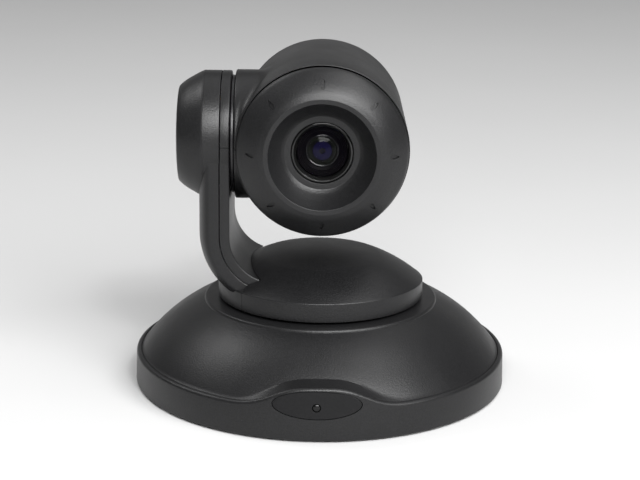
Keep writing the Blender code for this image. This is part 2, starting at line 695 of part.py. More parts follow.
def inner_housing(name, finish=None):
    """The disc-shaped inner side of the barrel, with its rim and the hole for the tilt shaft."""
    face, seam, hole = BARREL_INNER_X - 0.05, BARREL_SEAM_X + 0.2, TILT_SHAFT_RADIUS + 0.8
    profile = [
        (hole, face), (BARREL_RADIUS - 0.7, face), (BARREL_RADIUS, face - 0.7), (BARREL_RADIUS, seam),
        (BARREL_BORE, seam), (BARREL_BORE, face - ARM_WALL), (hole, face - ARM_WALL),
    ]
    return turned(name, profile, PAN, finish, axis="X", at=(0, 0, TILT_Z), steps=44)


def half_space(name, sign, parent, centre_z=0.0):
    """Everything above (+1) or below (-1) the horizontal parting line."""
    near = centre_z + sign * 0.15
    far = centre_z + sign * 90
    return block(name, (-90, -90, min(near, far)), (90, 90, max(near, far)), parent)


def make_arm_inner_cover():
    inside = ARM_HALF_WIDTH - ARM_WALL
    rho = RHO_SEAM - GAP
    section = [
        (rho, -ARM_HALF_WIDTH), (RHO_INNER + 0.7, -ARM_HALF_WIDTH), (RHO_INNER, 0.7 - ARM_HALF_WIDTH),
        (RHO_INNER, ARM_HALF_WIDTH - 0.7), (RHO_INNER + 0.7, ARM_HALF_WIDTH), (rho, ARM_HALF_WIDTH),
        (rho, inside), (RHO_INNER + ARM_WALL, inside), (RHO_INNER + ARM_WALL, -inside), (rho, -inside),
    ]
    cover = sweep("arm_inner_cover", section, arm_stations(125, 70), "shell")
    housing = inner_housing("lower_housing")
    keep(housing, half_space("below_parting", -1, PAN, TILT_Z))
    join(cover, housing)
    hole = TILT_SHAFT_RADIUS + 0.8
    cut(cover, rod("cover_shaft_hole", hole, -55, -40, PAN, axis="X", at=(0, 0, TILT_Z)))
    shade_round(cover)
    cap = inner_housing("arm_inner_cap", "shell")
    keep(cap, half_space("above_parting", 1, PAN, TILT_Z))
    return shade_round(cap)


def make_arm_frame():
    """Bent metal plate from the turntable to the barrel, with the tilt bearing's hub."""
    section = [(29.3, -24), (31.3, -24), (31.3, 24), (29.3, 24)]
    frame = sweep("arm_frame", section, arm_stations(120, 75, 15), "zinc")
    axis_place = (0, 0, TILT_Z)
    cut(frame, rod("frame_disc_hole", 20.0, -60, -50, PAN, axis="X", at=axis_place, steps=32))
    hub = [
        (10.4, -51.4), (27.5, -51.4), (27.5, -53.9), (15.5, -53.9), (15.5, -56.6), (13.2, -56.6),
        (13.2, -53.75), (10.4, -53.75),
    ]
    foot = block("frame_foot", (-35, -20, TURNTABLE_TOP + GAP), (-23, 20, 53.5), PAN)
    join(frame, turned("tilt_hub", hub, PAN, axis="X", at=axis_place, steps=40), foot)
    motor_place = (0, 0, TILT_Z + TILT_CENTRES)
    cut(frame, rod("tilt_motor_hole", 2.7, -60, -50, PAN, axis="X", at=motor_place, steps=16))
    for number, (x, y) in enumerate(ARM_SCREW_PLACES):
        hole = rod(f"frame_screw_hole_{number}", SCREW_HOLE_RADIUS, 46, 52.4, PAN, at=(x, y, 0), steps=12)
        cut(frame, hole)
        profile = [(0, 52.0), (1.4, 52.0), (1.4, 46.95), (2.8, 45.5), (0, 45.5)]
        turned(f"arm_screw_{number + 1}", profile, PAN, "steel", at=(x, y, 0), steps=12)


def make_neck_ring():
    profile = tube_profile(29.6, 24.0, BARREL_INNER_X + 0.35, BOSS_FACE_X - GAP)
    shade_round(turned("neck_ring", profile, PAN, "dark", axis="X", at=(0, 0, TILT_Z), steps=44))


def make_tilt_drive():
    gear_low, gear_high = -51.1, -48.3
    motor = [
        (0, -57.6), (1.7, -57.6), (1.7, -51.7), (2.4, -51.7), (2.4, -57.0), (6.4, -57.0), (6.4, -65.7),
        (5.9, -66.2), (0, -66.2),
    ]
    shade_round(turned("tilt_motor", motor, TILT_PINION, "steel", axis="X", steps=COARSE))
    outer_race, inner_race = tube_profile(12.9, 10.9, -56.5, -54.05), tube_profile(9.9, 7.8, -56.5, -54.05)
    turned("tilt_bearing_outer_race", outer_race, TILT, "steel", axis="X", steps=32)
    turned("tilt_bearing_inner_race", inner_race, TILT, "steel", axis="X", steps=32)
    shaft = [
        (5.0, -38.6), (14.0, -38.6), (14.0, -41.0), (TILT_SHAFT_RADIUS, -41.0), (TILT_SHAFT_RADIUS, -58.8),
        (5.0, -58.8),
    ]
    shade_round(turned("tilt_shaft", shaft, TILT, "aluminium", axis="X", steps=32))
    # A prism turned by TURN_TO["X"] has its outline's -x direction pointing up.
    up = pi
    outline = gear_outline(TILT_GEAR_TEETH, TILT_MODULE, up)
    gear = prism("tilt_gear", outline, gear_low, gear_high, TILT, "gear", turn=TURN_TO["X"])
    cut(gear, rod("tilt_gear_bore", TILT_SHAFT_RADIUS + GAP, -60, -40, TILT, axis="X", steps=32))
    outline = gear_outline(TILT_PINION_TEETH, TILT_MODULE, pi / TILT_PINION_TEETH)
    pinion = prism("tilt_pinion", outline, gear_low, gear_high, TILT_PINION, "brass", turn=TURN_TO["X"])
    join(pinion, rod("tilt_pinion_shaft", 1.3, -57.2, gear_low + 1, TILT_PINION, axis="X", steps=12))


# ---------------------------------------------------------------- head


def make_head_shells():
    outside = [
        (0, DRUM_REAR_Y), (37.7, DRUM_REAR_Y), (40.0, DRUM_REAR_Y - 0.6), (41.3, DRUM_REAR_Y - 1.8),
        (DRUM_REAR_RADIUS, DRUM_REAR_Y - 3.8), (DRUM_FRONT_RADIUS, DRUM_FRONT_Y + 0.5),
        (DRUM_FRONT_RADIUS - 0.5, DRUM_FRONT_Y), (0, DRUM_FRONT_Y),
    ]
    inside = [(0, 39.7), (38.0, 39.7), (39.5, 38.2), (40.5, -38), (0, -38)]
    boss = [
        (0, -20), (BOSS_RADIUS, -20), (BOSS_RADIUS, BOSS_FACE_X + 0.7), (BOSS_RADIUS - 0.7, BOSS_FACE_X),
        (0, BOSS_FACE_X),
    ]
    hole, hollow = TILT_SHAFT_RADIUS + GAP, BOSS_RADIUS - 2.2
    boss_inside = [(0, -15), (hollow, -15), (hollow, -41.3), (hole, -41.3), (hole, -50), (0, -50)]
    for name, sign in (("head_upper_shell", 1), ("head_lower_shell", -1)):
        shell = turned(name, outside, TILT, "shell", axis="Y")
        join(shell, turned(f"{name}_boss", boss, TILT, axis="X", steps=44))
        cut(shell, turned(f"{name}_inside", inside, TILT, axis="Y"))
        cut(shell, turned(f"{name}_boss_inside", boss_inside, TILT, axis="X"))
        keep(shell, half_space(f"{name}_half", sign, TILT))
        shade_round(shell)


def make_bezel():
    outside = [
        (37.2, -31.0), (40.0, -31.0), (40.0, -38.1), (42.1, -38.1), (42.1, -39.2), (41.2, -40.6),
        (38.6, -43.2), (35.2, -46.2), (31.8, -48.6), (28.6, -50.0),
    ]
    well = [(26.3, -49.8), (22.2, -44.2), (18.3, -39.9), (15.4, -39.9)]
    back = [(15.4, -37.7), (18.6, -37.7), (25.4, -46.4), (28.4, -47.6), (33.6, -45.8), (37.2, -41.9)]
    shade_round(turned("front_bezel", outside + well + back, TILT, "shell", axis="Y"), 50)


def make_lens():
    retainer = [
        (12.7, -37.4), (13.4, -39.0), (14.4, -39.5), (15.0, -39.3), (15.0, -35.6), (12.7, -35.6),
    ]
    shade_round(turned("lens_retainer", retainer, TILT, "dark", axis="Y", steps=40))
    front = [(0, -35.8), (12.3, -35.8), (12.3, -36.9), (9.4, -37.8), (6.0, -38.4), (3.0, -38.7), (0, -38.8)]
    shade_round(turned("front_lens", front, TILT, "glass", axis="Y", steps=32))
    block_body = block("lens_block", (-20, -22, -22), (20, 22, 22), TILT, "dark", edge=1.5)
    join(block_body, rod("lens_tube", 17.4, -35.3, -20, TILT, axis="Y", steps=40))
    bore = [(0, 17), (LENS_BORE, 17), (LENS_BORE, -40), (0, -40)]
    cut(block_body, turned("lens_bore", bore, TILT, axis="Y", steps=40))
    cut(block_body, rod("sensor_opening", 6.0, 15, 25, TILT, axis="Y"))
    zoom = [(0, -23.0), (11, -22.0), (14.9, -22.0), (14.9, -27.0), (11, -27.0), (5, -28.0), (0, -28.2)]
    shade_round(turned("zoom_group", zoom, TILT, "glass", axis="Y", steps=32))
    focus = [(0, 1.8), (6, 1.4), (11, 0.6), (14.9, 0.6), (14.9, -2.4), (11, -2.4), (0, -1.4)]
    shade_round(turned("focus_group", focus, TILT, "glass", axis="Y", steps=32))
    block("sensor_board", (-15, 22.3, -15), (15, 23.5, 15), TILT, "board")
    block("video_board", (-22, 27.0, -20), (22, 28.6, 20), TILT, "board")


def build():
    make_base_tub()
    make_base_cover()
    make_base_plate()
    make_case_screws()
    make_feet()
    make_tripod_insert()
    make_window()
    make_main_board()
    make_connector_bay()
    make_jacks()
    make_pan_frame()
    make_pan_drive()
    make_turntable_cover()
    make_turntable_plate()
    make_arm_outer_shell()
    make_end_cap()
    make_arm_inner_cover()
    make_arm_frame()
    make_neck_ring()
    make_tilt_drive()
    make_head_shells()
    make_bezel()
    make_lens()
    bpy.context.view_layer.update()


build()
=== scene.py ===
"""Looks of the pan-tilt-zoom camera: fine shells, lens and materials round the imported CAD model.

Shapes are worked out in millimetres, with heights measured from the lower edge of the case, as in the CAD
model. A finished piece is in metres, in the CAD model's frame.
"""

import json
from math import asin, cos, exp, hypot, pi, radians, sin, sqrt, tan

import bmesh
import bpy
from mathutils import Euler, Matrix, Vector


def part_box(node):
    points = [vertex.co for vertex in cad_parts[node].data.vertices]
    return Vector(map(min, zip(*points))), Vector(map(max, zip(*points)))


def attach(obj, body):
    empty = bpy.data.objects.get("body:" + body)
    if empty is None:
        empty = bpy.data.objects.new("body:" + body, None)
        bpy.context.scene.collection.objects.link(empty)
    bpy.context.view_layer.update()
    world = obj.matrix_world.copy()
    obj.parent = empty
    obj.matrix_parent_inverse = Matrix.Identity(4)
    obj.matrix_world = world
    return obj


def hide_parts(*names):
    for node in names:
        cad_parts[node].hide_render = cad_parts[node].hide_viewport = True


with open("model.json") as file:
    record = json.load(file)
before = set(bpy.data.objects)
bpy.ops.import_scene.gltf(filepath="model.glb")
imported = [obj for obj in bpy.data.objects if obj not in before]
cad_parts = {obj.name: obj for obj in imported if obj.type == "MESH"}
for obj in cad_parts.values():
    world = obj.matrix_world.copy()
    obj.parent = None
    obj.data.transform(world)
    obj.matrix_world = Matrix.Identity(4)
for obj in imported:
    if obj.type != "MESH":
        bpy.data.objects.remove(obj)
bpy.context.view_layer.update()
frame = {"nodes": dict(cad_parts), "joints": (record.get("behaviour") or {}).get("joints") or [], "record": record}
JOINTS = {joint["name"]: joint for joint in frame["joints"]}

MM = 0.001
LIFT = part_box("base_tub")[0].z / MM  # the rubber feet hold the case this high
TILT_Z = JOINTS["tilt"]["pos_m"][2] / MM - LIFT
CASE = (0.0, 0.0, 0.0)
HEAD = (0.0, 0.0, TILT_Z)
GAP = 0.3

# Base
BASE_RADIUS, BAND_RADIUS, BAND_INNER_RADIUS = 95.0, 94.4, 92.2
BAND_TOP, BROW_RISE, BROW_ANGLE = 16.4, 10.1, 16.3
SHELF_RISE, SHELF_ANGLE = 10.6, 19.0
DOME_ARC_RADIUS, DOME_ARC_CENTRE = 80.2, (26.8, -30.9)
DOME_FLAT_Z, DOME_FLAT_RADIUS, DOME_HOLE_RADIUS = 43.8, 58.6, 31.0
WALL = 2.4
PLATE_EDGE = 91.7
FLANGE_BOTTOM, FLANGE_TOP = 3.3, 5.6
WINDOW_CENTRE, WINDOW_HALF = (-1.0, 17.9), (21.4, 6.9)
LAMP_RADIUS, LAMP_PLACE = 1.9, (-1.2, 16.7)
BAY_HALF_WIDTH, BAY_BACK, BAY_BOTTOM, BAY_TOP = 41.3, 71.9, 6.3, 26.7
DOME_ARC_TOP, DOME_INNER_ARC_TOP, DOME_INNER_FLAT_RADIUS = 42.3, 40.9, 56.0
FLANGE_INNER_RADIUS = 76.5
LAMP_BACK = -86.5

# Turntable
RIM_RADIUS, RIM_BOTTOM, RIM_TOP, RIM_DROP = 52.4, 45.2, 55.1, 2.5
COVER_APEX, CREASE_RADIUS, CREASE_Z, FLANK_BULGE = 68.2, 30.5, 65.3, 1.07

# Arm
BEND_X, BEND_Z = -22.3, 82.0
RHO_OUTER, RHO_SEAM, RHO_INNER = 39.0, 28.4, 23.2
ARM_HALF_WIDTH, ARM_WALL = 30.9, 2.2
CORNER_DEPTH, CORNER_WIDTH = 6.0, 17.0
BARREL_RADIUS, BARREL_BORE = 31.9, 29.5
BARREL_INNER_X, BARREL_SEAM_X, BARREL_OUTER_X = -45.5, -50.4, -58.7
SHAFT_HOLE_RADIUS = 8.3
SHELL_TOP_Z, SHELL_ANGLE, PANEL_ANGLE = 125, 60, 69  # how far the arm's parts run up, and round the bend
ARM_SPACE_TOP_Z, ARM_SPACE_ANGLE = 95, 72
FRAME_SLOT = ((-54.4, -24.6, 92), (-48, 24.6, 118))
FOOT_INNER_RADIUS, FOOT_STEP_RADIUS, FOOT_STEP_Z = 44.5, 50.0, 52.4
NECK_SEAL_OUTLINE = ((29.6, -45.15, 0.2), (29.6, -43.8, 0.2), (24.0, -43.8), (24.0, -45.15))
CAP_SEAT_X, CAP_SPACE_END_X = -58.8, -76.0
CAP_SPACE_SIDE = ((31.7, -59.8), (30.7, -61.8), (29.3, -64.4), (27.5, -67.5), (25.6, -70.1))
CAP_SIDE = ((31.88, -59.1), (31.6, -60.0), (30.7, -61.9), (29.3, -64.4), (27.5, -67.5), (25.8, -69.9))
CAP_INSIDE = ((0, -70.7), (21.2, -70.1), (24.8, -67.4), (29.2, -58.75), (31.9, -58.75))

# Head: outlines are (radius, y) or (radius, y, fillet), and y is negative towards the front
DRUM_FRONT_Y, DRUM_REAR_Y = -36.0, 42.0
DRUM_FRONT_RADIUS, DRUM_REAR_RADIUS = 42.8, 41.8
DRUM_BORE, DRUM_BORE_END_Y, DRUM_END_FACE_Y, DRUM_SIDE_RADIUS = 40.2, 37.0, 39.7, 42.3
DRUM_INSIDE = ((0, DRUM_BORE_END_Y), (DRUM_BORE, DRUM_BORE_END_Y), (DRUM_BORE, -30.5), (42.35, -36.02),
               (42.35, -37.0), (0, -37.0))
BOSS_RADIUS, BOSS_BORE, BOSS_FACE_X = 32.4, 24.0, -43.5
NECK_HOLLOW_RADIUS, HEAD_SHAFT_HOLE_RADIUS = 29.8, 7.8
BEZEL_FACE = ((42.1, -39.0), (41.2, -40.55), (38.6, -43.15), (35.2, -46.15), (31.8, -48.55),
              (28.75, -49.95))
BEZEL_WELL = ((26.2, -49.45), (24.9, -47.4), (22.7, -44.3), (20.3, -41.5), (18.6, -40.1))
BEZEL_BACK = ((18.6, -37.7), (25.4, -46.4), (28.4, -47.6), (33.6, -45.8), (37.2, -41.9), (37.2, -31.0))
TICK_COUNT, TICK_MIDDLE, TICK_LEAN, TICK_DEPTH, TICK_HALF_LENGTH = 8, (35.2, -46.15), 39, 0.75, 2.9

# Lens: the outlines are (radius, y) or (radius, y, fillet)
RING_OUTLINE = ((14.9, -35.6), (14.9, -39.3, 0.25), (14.1, -39.45, 0.2), (13.0, -38.3, 0.15),
                (12.8, -37.2, 0.1), (12.8, -35.6))
GLASS_FRONT_Y, GLASS_BACK_Y, GLASS_CURVATURE = -38.75, -36.2, 0.0125
BAFFLE_OUTLINE = ((12.35, -36.0), (11.6, -35.9), (11.5, -35.4), (10.9, -35.3), (10.8, -34.9), (10.2, -34.8),
                  (10.0, -34.3), (9.4, -34.2), (8.9, -33.9), (8.4, -33.8), (8.2, -33.6), (8.2, -33.4),
                  (12.35, -33.4))
CLAMP_OUTLINE = ((8.15, -33.5), (8.15, -34.5), (7.95, -34.8), (7.6, -34.9), (7.3, -34.7), (7.15, -34.3),
                 (7.15, -33.5))
SECOND_FRONT_Y, SECOND_BACK_Y, SECOND_CURVATURE, SECOND_EDGE = -35.5, -33.4, 0.031, (7.9, -33.9)


# ---------------------------------------------------------------- meshes


def new_object(name, bm, offset=CASE):
    """A bmesh in millimetres, moved by its offset and onto the feet, as an object in metres."""
    bmesh.ops.recalc_face_normals(bm, faces=bm.faces)
    mesh = bpy.data.meshes.new(name)
    bm.to_mesh(mesh)
    bm.free()
    place = Matrix.Translation(Vector(offset) + Vector((0, 0, LIFT)))
    mesh.transform(Matrix.Scale(MM, 4) @ place)
    obj = bpy.data.objects.new(name, mesh)
    bpy.context.scene.collection.objects.link(obj)
    return smooth(obj)


def smooth(obj, angle=32):
    obj.data.shade_smooth()
    obj.data.set_sharp_from_angle(angle=radians(angle))
    return obj


def carve(obj, operation, *tools):
    """Cuts, joins or keeps with the tools, writes the result into the mesh and removes the tools."""
    for tool in tools:
        modifier = obj.modifiers.new("carve", "BOOLEAN")
        modifier.operation = operation
        modifier.solver = "EXACT"
        modifier.object = tool
    graph = bpy.context.evaluated_depsgraph_get()
    mesh = bpy.data.meshes.new_from_object(obj.evaluated_get(graph))
    obj.modifiers.clear()
    obj.data = mesh
    for tool in tools:
        bpy.data.objects.remove(tool)
    return smooth(obj)


def skin(rows, closed_rows=True, closed_loop=True, caps=True):
    """A bmesh over rows of points. A row of one point is a pole.

    closed_rows joins each row's ends, closed_loop joins the last row to the first, and caps closes the ends
    of an open run of rows.
    """
    bm = bmesh.new()
    verts = [[bm.verts.new(point) for point in row] for row in rows]
    pairs = list(zip(verts, verts[1:]))
    if closed_loop:
        pairs.append((verts[-1], verts[0]))
    for first, second in pairs:
        count = max(len(first), len(second))
        for i in range(count if closed_rows else count - 1):
            j = (i + 1) % count
            if len(first) == 1:
                bm.faces.new((first[0], second[j], second[i]))
            elif len(second) == 1:
                bm.faces.new((first[i], first[j], second[0]))
            else:
                bm.faces.new((first[i], first[j], second[j], second[i]))
    if caps and not closed_loop:
        for row in (verts[0], verts[-1]):
            if len(row) > 2:
                bm.faces.new(row)
    return bm


def fillet(corners, steps=4):
    """Rounds an outline. Each corner is (u, v) or (u, v, radius), and the outline is closed."""
    outline = []
    for i, corner in enumerate(corners):
        here = Vector(corner[:2])
        if len(corner) < 3 or corner[2] == 0:
            outline.append(tuple(corner[:2]))
            continue
        before = Vector(corners[i - 1][:2]) - here
        after = Vector(corners[(i + 1) % len(corners)][:2]) - here
        half = before.angle(after) / 2
        reach = min(corner[2] / tan(half), before.length * 0.9, after.length * 0.9)
        start, end = here + before.normalized() * reach, here + after.normalized() * reach
        centre = here + (before.normalized() + after.normalized()).normalized() * (reach / cos(half))
        first, last = start - centre, end - centre
        sweep = first.angle_signed(last)
        for step in range(steps + 1):
            turned = first.copy()
            turned.rotate(Matrix.Rotation(-sweep * step / steps, 2))
            outline.append(tuple(centre + turned))
    return outline


def spline(points, steps=6):
    """A smooth curve through points (Catmull-Rom)."""
    padded = [2 * Vector(points[0]) - Vector(points[1])] + [Vector(p) for p in points]
    padded.append(2 * Vector(points[-1]) - Vector(points[-2]))
    curve = []
    for i in range(1, len(padded) - 2):
        a, b, c, d = padded[i - 1 : i + 3]
        for step in range(steps):
            t = step / steps
            curve.append(tuple(0.5 * (2 * b + (c - a) * t + (2 * a - 5 * b + 4 * c - d) * t**2
                                      + (3 * b - a - 3 * c + d) * t**3)))
    curve.append(tuple(points[-1]))
    return curve


def on_axis(axis, radius, along, angle):
    """A point at a distance along an axis. Angle 0 is the front round Z, and the top round X and Y."""
    if axis == "Z":
        return (radius * sin(angle), -radius * cos(angle), along)
    if axis == "Y":
        return (radius * sin(angle), along, radius * cos(angle))
    return (along, radius * sin(angle), radius * cos(angle))


def revolve(name, profile, axis="Z", offset=CASE, steps=128):
    """A turned shape from (radius, place along the axis).

    The profile is a loop, or starts and ends on the axis.
    """
    rows = []
    for radius, along in profile:
        count = 1 if radius == 0 else steps
        rows.append([on_axis(axis, radius, along, 2 * pi * i / steps) for i in range(count)])
    loop = profile[0][0] > 0
    return new_object(name, skin(rows, closed_loop=loop), offset)


def rod(name, radius, low, high, axis="Z", offset=CASE, steps=64):
    return revolve(name, [(0, high), (radius, high), (radius, low), (0, low)], axis, offset, steps)


def rows_round(axis, sections, angles):
    """Rows round an axis from sections of (radius, along), one section for each angle."""
    return [[on_axis(axis, *section[k], angle) for section, angle in zip(sections, angles)]
            for k in range(len(sections[0]))]


def block(name, low, high, offset=CASE):
    """A box between two corners. It is only used to cut other shapes."""
    bm = bmesh.new()
    bmesh.ops.create_cube(bm, size=1.0)
    size, centre = Vector(high) - Vector(low), (Vector(high) + Vector(low)) / 2
    place = Matrix.Translation(centre) @ Matrix.Diagonal((*size, 1.0))
    bmesh.ops.transform(bm, matrix=place, verts=bm.verts)
    return new_object(name, bm, offset)


def prism(name, outline, low, high, offset=CASE):
    """A flat outline of (x, y) points raised along Z."""
    rows = [[(x, y, z) for x, y in outline] for z in (low, high)]
    return new_object(name, skin(rows, closed_loop=False), offset)


def smooth_step(value):
    value = min(max(value, 0.0), 1.0)
    return value * value * (3 - 2 * value)


def bend(start, middle, end, share):
    """A value on the curve from start to end that is drawn towards the middle."""
    return (1 - share) ** 2 * start + 2 * share * (1 - share) * middle + share**2 * end


# ---------------------------------------------------------------- base


def band_top(azimuth):
    return BAND_TOP + BROW_RISE * exp(-((abs(azimuth) / BROW_ANGLE) ** 3))


def shelf_crease(azimuth):
    return BAND_TOP + SHELF_RISE * exp(-((abs(azimuth) / SHELF_ANGLE) ** 3.4))


def wall_radius(height):
    """The band's wall leans in from its foot to its upper edge."""
    return BASE_RADIUS - (BASE_RADIUS - BAND_RADIUS) * height / (BAND_TOP + BROW_RISE)


def dome_arc(low, high, count, inset=0.0):
    radius, centre = DOME_ARC_RADIUS - inset, DOME_ARC_CENTRE
    start, end = (asin((height - centre[1]) / radius) for height in (high, low))
    angles = [start + (end - start) * i / (count - 1) for i in range(count)]
    return [(centre[0] + radius * cos(a), centre[1] + radius * sin(a)) for a in angles]


def base_azimuths():
    front = [-34 + 0.8 * i for i in range(86)]
    rest = [34 + 292 * i / 180 for i in range(1, 180)]
    return front + rest


def around_base(section_at):
    """A ring whose section changes with the azimuth."""
    rows = []
    for azimuth in base_azimuths():
        signed = (azimuth + 180) % 360 - 180
        rows.append([on_axis("Z", r, h, radians(azimuth)) for r, h in section_at(signed)])
    return skin(rows)


def window_tool(margin):
    half_width, half_height = (half + margin for half in WINDOW_HALF)
    angles = [2 * pi * i / 96 for i in range(96)]
    rows = []
    for y in (-80, -100):
        rows.append([(WINDOW_CENTRE[0] + half_width * cos(a), y, WINDOW_CENTRE[1] + half_height * sin(a))
                     for a in angles])
    return new_object("window_tool", skin(rows, closed_loop=False))


def bay_tool():
    low = (-BAY_HALF_WIDTH - GAP, BAY_BACK - GAP, BAY_BOTTOM - GAP)
    return block("bay_tool", low, (BAY_HALF_WIDTH + GAP, 110, BAY_TOP + GAP))


def make_band():
    def section(azimuth):
        top = band_top(azimuth)
        return fillet([
            (BASE_RADIUS, 0.0, 0.7), (wall_radius(top), top, 1.8), (BAND_INNER_RADIUS, top, 0.25),
            (BAND_INNER_RADIUS, FLANGE_TOP, 0.6), (FLANGE_INNER_RADIUS, FLANGE_TOP, 0.3),
            (FLANGE_INNER_RADIUS, FLANGE_BOTTOM, 0.3), (PLATE_EDGE, FLANGE_BOTTOM, 0.3),
            (PLATE_EDGE, 0.0, 0.3),
        ], 5)

    band = new_object("case_band", around_base(section))
    carve(band, "DIFFERENCE", window_tool(GAP), bay_tool())
    return adopt(band, "base", "shell", SHELL, "base_tub")


def make_dome():
    lip = BAND_INNER_RADIUS - GAP

    def section(azimuth):
        top, crease = band_top(azimuth), shelf_crease(azimuth)
        arc = dome_arc(crease, DOME_ARC_TOP, 30)
        first, foot = arc[0], arc[-1]
        flat_edge = (DOME_FLAT_RADIUS + 0.6, DOME_FLAT_Z, 1.3)
        corner = fillet([(DOME_HOLE_RADIUS, DOME_FLAT_Z), flat_edge, first], 5)
        edge = (lip, top - 0.15)
        shelf = [tuple(Vector(foot).lerp(Vector(edge), share)) for share in (0.25, 0.5, 0.75)]
        inner = dome_arc(crease - WALL, DOME_INNER_ARC_TOP, 8, WALL)
        below = [(lip, top - 3.0), (inner[-1][0], top - 3.0)]
        return corner[:-1] + arc + shelf + [edge] + below + inner[::-1] + [
            (DOME_INNER_FLAT_RADIUS, DOME_FLAT_Z - WALL), (DOME_HOLE_RADIUS, DOME_FLAT_Z - WALL)]

    dome = new_object("case_dome", around_base(section))
    carve(dome, "DIFFERENCE", bay_tool())
    return adopt(dome, "base", "shell", SHELL, "base_cover")


def oval_point(centre, half, angle):
    return (centre[0] + half[0] * cos(angle), centre[1] + half[1] * sin(angle))


def window_row(share, depth):
    """Points round the window, between the lamp's hole (0) and the edge (1), at a depth in the wall."""
    hole = (LAMP_RADIUS + 0.25, LAMP_RADIUS + 0.25)
    points = []
    for i in range(120):
        angle = 2 * pi * i / 120
        inner = oval_point(LAMP_PLACE, hole, angle)
        outer = oval_point(WINDOW_CENTRE, WINDOW_HALF, angle)
        x, z = (a + (b - a) * share for a, b in zip(inner, outer))
        radius = wall_radius(z) - depth
        points.append((x, -sqrt(radius**2 - x**2), z))
    return points


def make_window():
    """An oval pane that follows the band's wall, with a hole for the lamp, and the lamp."""
    front = [window_row(share, 0.12) for share in (0.0, 0.1, 0.25, 0.45, 0.65, 0.85, 0.985)]
    back = [window_row(1.0, 0.25), window_row(1.0, 1.7), window_row(0.0, 1.7)]
    pane = new_object("infrared_window", skin([window_row(0.0, 0.2)] + front + back))
    adopt(pane, "base", "ir_window", WINDOW, "ir_window")
    tip = -wall_radius(LAMP_PLACE[1]) - 0.25
    crown = [(LAMP_RADIUS * sin(a), tip + 0.9 * (1 - cos(a))) for a in (0.3, 0.6, 0.9, 1.2, 1.45)]
    profile = [(0, tip)] + crown + [(LAMP_RADIUS, tip + 1.0), (LAMP_RADIUS, LAMP_BACK), (0, LAMP_BACK)]
    lamp = revolve("status_lamp_lens", profile, "Y", (LAMP_PLACE[0], 0, LAMP_PLACE[1]), 48)
    adopt(lamp, "base", "ir_window", LAMP, "status_lamp")


# ---------------------------------------------------------------- turntable


def rim_top(azimuth):
    y = -RIM_RADIUS * cos(radians(azimuth))
    return RIM_TOP - RIM_DROP * smooth_step((y + 40) / 68)


def flank_point(azimuth, share):
    """A point between the crease (0) and the rim (1), on a curve that bulges slightly."""
    start, end = (CREASE_RADIUS, CREASE_Z), (RIM_RADIUS - 0.6, rim_top(azimuth))
    run, fall = end[0] - start[0], end[1] - start[1]
    length = hypot(run, fall)
    middle = ((start[0] + end[0]) / 2 - 2 * FLANK_BULGE * fall / length,
              (start[1] + end[1]) / 2 + 2 * FLANK_BULGE * run / length)
    return tuple(bend(start[i], middle[i], end[i], share) for i in range(2))


def cover_cap(radius):
    return COVER_APEX - (COVER_APEX - CREASE_Z) * (radius / CREASE_RADIUS) ** 2


def foot_tool(inset):
    """The part of the turntable's plan that belongs to the arm's foot."""
    outline = [(-80, -44), (-45.9 - inset, -44), (-36.5 - inset, -31.4), (-36.5 - inset, 31.4),
               (-45.9 - inset, 44), (-80, 44)]
    return prism("foot_tool", outline, 40, 80)


def arm_space():
    """The space that the arm takes out of the turntable's cover."""
    half = ARM_HALF_WIDTH + 0.45
    section = [(RHO_INNER - 0.35, -half), (45.0, -half), (45.0, half), (RHO_INNER - 0.35, half)]
    return sweep("arm_space", section, arm_stations(ARM_SPACE_TOP_Z, ARM_SPACE_ANGLE))


def make_turntable_cover():
    def section(azimuth):
        cap = [(r, cover_cap(r)) for r in (3, 7, 11, 15, 19, 23, 26, 28.5, 29.9)]
        crease = [(30.4, cover_cap(30.4) - 0.02), flank_point(azimuth, 0.012)]
        flank = [flank_point(azimuth, share / 16) for share in range(1, 16)]
        top = rim_top(azimuth)
        rim = fillet([flank[-1], (RIM_RADIUS, top - 0.35, 0.7), (RIM_RADIUS, RIM_BOTTOM, 0.4),
                      (RIM_RADIUS - WALL, RIM_BOTTOM), (RIM_RADIUS - WALL, top - WALL)], 5)[1:]
        under = [(flank_point(azimuth, s)[0] - 1.0, flank_point(azimuth, s)[1] - WALL + 0.2)
                 for s in (0.8, 0.6, 0.4, 0.2, 0)]
        return cap + crease + flank + rim + under + [(r, cover_cap(r) - WALL + 0.2) for r in (18, 3)]

    azimuths = [2 * i for i in range(180)]
    sections = [section((a + 180) % 360 - 180) for a in azimuths]
    rows = rows_round("Z", sections, [radians(a) for a in azimuths])
    rows = [[(0, 0, COVER_APEX)]] + rows + [[(0, 0, COVER_APEX - WALL + 0.2)]]
    cover = new_object("turntable_dome", skin(rows, closed_loop=False))
    carve(cover, "DIFFERENCE", foot_tool(0.0), arm_space())
    return adopt(cover, "turntable", "shell", SHELL, "turntable_cover")


# ---------------------------------------------------------------- arm


def arm_stations(top, last_angle, step=3):
    """(height, angle) down the straight part and then round the bend."""
    straight = [(top - (top - BEND_Z) * i / 6, 0) for i in range(7)]
    return straight + [(BEND_Z, angle) for angle in range(step, last_angle + 1, step)]


def arm_point(station, rho, y):
    height, angle = station
    return (BEND_X - rho * cos(radians(angle)), y, height - rho * sin(radians(angle)))


def sweep(name, section, stations):
    rows = [[arm_point(station, rho, y) for rho, y in section] for station in stations]
    return new_object(name, skin(rows, closed_loop=False))


def outer_corner(sign):
    angles = [radians(7.5 * i) for i in range(13)]
    rho, half_width = RHO_OUTER - CORNER_DEPTH, ARM_HALF_WIDTH - CORNER_WIDTH
    return [(rho + CORNER_DEPTH * sin(a), sign * (half_width + CORNER_WIDTH * cos(a))) for a in angles]


